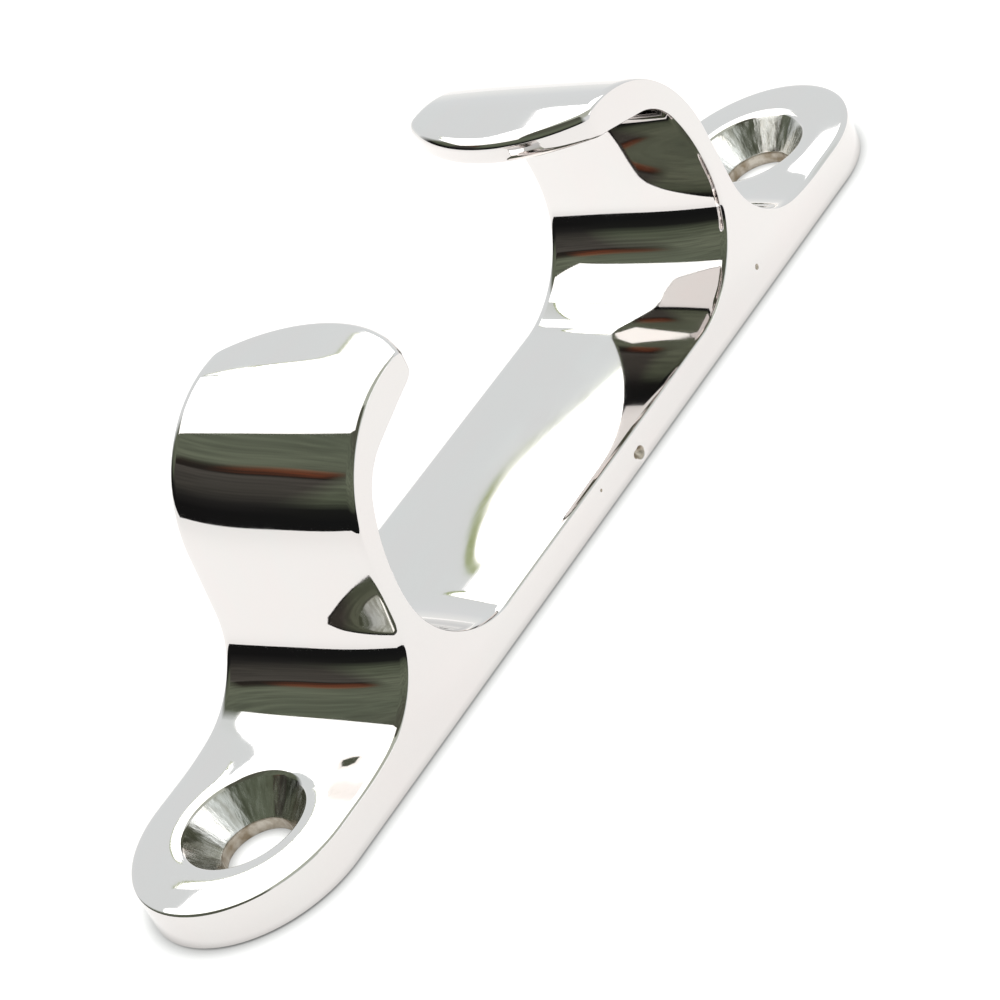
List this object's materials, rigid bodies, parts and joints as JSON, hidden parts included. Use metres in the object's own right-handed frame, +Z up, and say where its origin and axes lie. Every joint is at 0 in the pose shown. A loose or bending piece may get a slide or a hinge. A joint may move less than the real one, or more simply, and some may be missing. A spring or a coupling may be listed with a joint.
{
  "type": "fairlead chock",
  "caption": "Open bow chock in polished stainless steel: curved horns over a smooth rope throat, on a slim base whose rounded ends are countersunk for deck screws.",
  "frame": {"origin": "centre of the flat base, on the deck surface", "axes": "+X along the chock through the two screw holes, +Y across it towards the back face, +Z up away from the deck"},
  "size_m": [0.152, 0.0266, 0.0386],
  "materials": {
    "polished_stainless": "mirror-polished 316 stainless steel casting, with light polishing marks and a few small pits"
  },
  "bodies": {
    "root": {"chock_body": "polished_stainless"}
  },
  "joints": []
}
